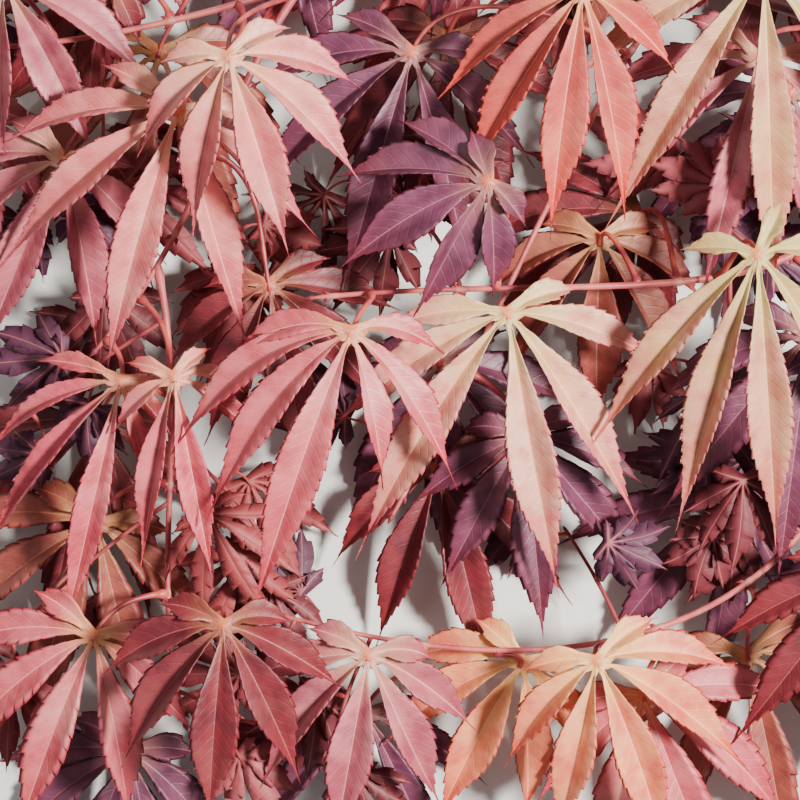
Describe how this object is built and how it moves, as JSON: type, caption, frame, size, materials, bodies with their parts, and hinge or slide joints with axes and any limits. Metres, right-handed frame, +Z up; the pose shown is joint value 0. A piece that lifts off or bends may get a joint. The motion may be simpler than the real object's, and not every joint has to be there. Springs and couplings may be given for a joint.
{
  "type": "cut japanese maple branch",
  "caption": "Leafy branch cut from a red Japanese maple: a forked slender stem with hanging, deeply lobed leaves on thin stalks, lying flat.",
  "frame": {"origin": "on the floor under the middle of the branch's bounding box", "axes": "+X along the branch's longest side, towards the side of its cut end; +Y away from the hanging leaf tips, towards the side that the main stem runs along; +Z up from the floor that the branch lies on, through its leaves"},
  "size_m": [0.3414, 0.3058, 0.0732],
  "materials": {
    "bark": "smooth bark",
    "shoot": "satin bark",
    "leaf": "satin leaf",
    "low_leaf": "satin leaf"
  },
  "bodies": {
    "root": {"main_stem": "bark", "shoot_back": "shoot", "shoot_left": "shoot", "shoot_low": "shoot", "shoot_low_left": "shoot", "shoot_middle": "shoot", "shoot_right": "shoot", "shoot_top_left": "shoot", "shoot_top_right": "shoot", "leaf_back_3b": "low_leaf", "leaf_low_1a": "low_leaf", "leaf_low_1b": "low_leaf", "leaf_low_2b": "low_leaf", "leaf_low_3b": "low_leaf", "leaf_low_4b": "low_leaf", "leaf_low_left_1a": "low_leaf", "leaf_low_left_2a": "low_leaf", "leaf_low_left_3a": "low_leaf", "leaf_low_left_4a": "low_leaf", "leaf_main_stem_1a": "low_leaf", "leaf_main_stem_1b": "low_leaf", "leaf_main_stem_2a": "low_leaf", "leaf_main_stem_2b": "low_leaf", "leaf_main_stem_3a": "low_leaf", "leaf_main_stem_4a": "low_leaf", "leaf_main_stem_4b": "low_leaf", "leaf_main_stem_5a": "low_leaf", "leaf_main_stem_6a": "low_leaf", "leaf_main_stem_6b": "low_leaf", "leaf_middle_1b": "low_leaf", "leaf_middle_2b": "low_leaf", "leaf_middle_3a": "low_leaf", "leaf_middle_4b": "low_leaf", "leaf_right_1b": "low_leaf", "leaf_right_2b": "low_leaf", "leaf_top_01": "leaf", "leaf_top_02": "leaf", "leaf_top_03": "leaf", "leaf_top_04": "leaf", "leaf_top_05": "leaf", "leaf_top_06": "leaf", "leaf_top_07": "leaf", "leaf_top_08": "leaf", "leaf_top_09": "leaf", "leaf_top_10": "leaf", "leaf_top_11": "leaf", "leaf_top_12": "leaf", "leaf_top_13": "leaf", "leaf_top_14": "leaf", "leaf_top_15": "leaf", "leaf_top_16": "leaf", "leaf_top_17": "leaf", "leaf_top_18": "leaf", "leaf_top_19": "leaf", "leaf_top_20": "leaf", "leaf_top_21": "leaf", "leaf_top_left_1a": "low_leaf", "leaf_top_right_1a": "low_leaf", "leaf_top_right_2a": "low_leaf", "leaf_top_right_3a": "low_leaf"}
  },
  "joints": []
}
